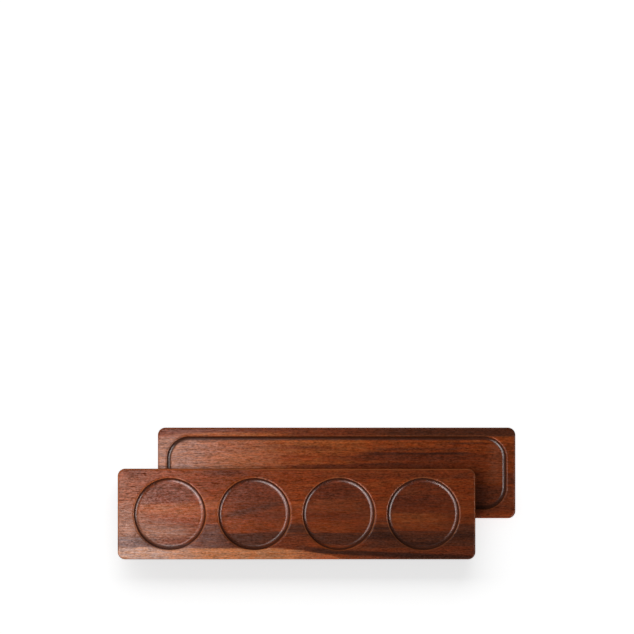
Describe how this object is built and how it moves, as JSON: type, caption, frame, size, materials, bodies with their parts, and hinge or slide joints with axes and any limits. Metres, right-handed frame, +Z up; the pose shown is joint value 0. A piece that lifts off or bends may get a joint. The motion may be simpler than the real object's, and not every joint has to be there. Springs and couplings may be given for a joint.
{
  "type": "serving board",
  "caption": "Long edge-glued wooden serving boards lying crosswise: a board with round wells for dipping pots lifts off a board with one long shallow tray.",
  "frame": {"origin": "on the table, under the middle of the pair's footprint", "axes": "+X along the boards, +Y towards the lower board's rear edge, +Z up out of the serving faces"},
  "size_m": [0.645, 0.2134, 0.0402],
  "materials": {
    "upper_rear_wood": "satin oil",
    "upper_middle_wood": "satin oil",
    "upper_front_wood": "satin oil",
    "lower_rear_wood": "satin oil",
    "lower_middle_wood": "satin oil",
    "lower_front_wood": "satin oil"
  },
  "bodies": {
    "lower_board": {"lower_board_rear_stave": "lower_rear_wood", "lower_board_middle_stave": "lower_middle_wood", "lower_board_front_stave": "lower_front_wood"},
    "upper_board": {"upper_board_rear_stave": "upper_rear_wood", "upper_board_middle_stave": "upper_middle_wood", "upper_board_front_stave": "upper_front_wood"}
  },
  "joints": [
    {"name": "upper_board_lift", "type": "slide", "parent": "lower_board", "child": "upper_board", "axis": [0, 0, 1], "range_m": [0, 0.15]}
  ]
}
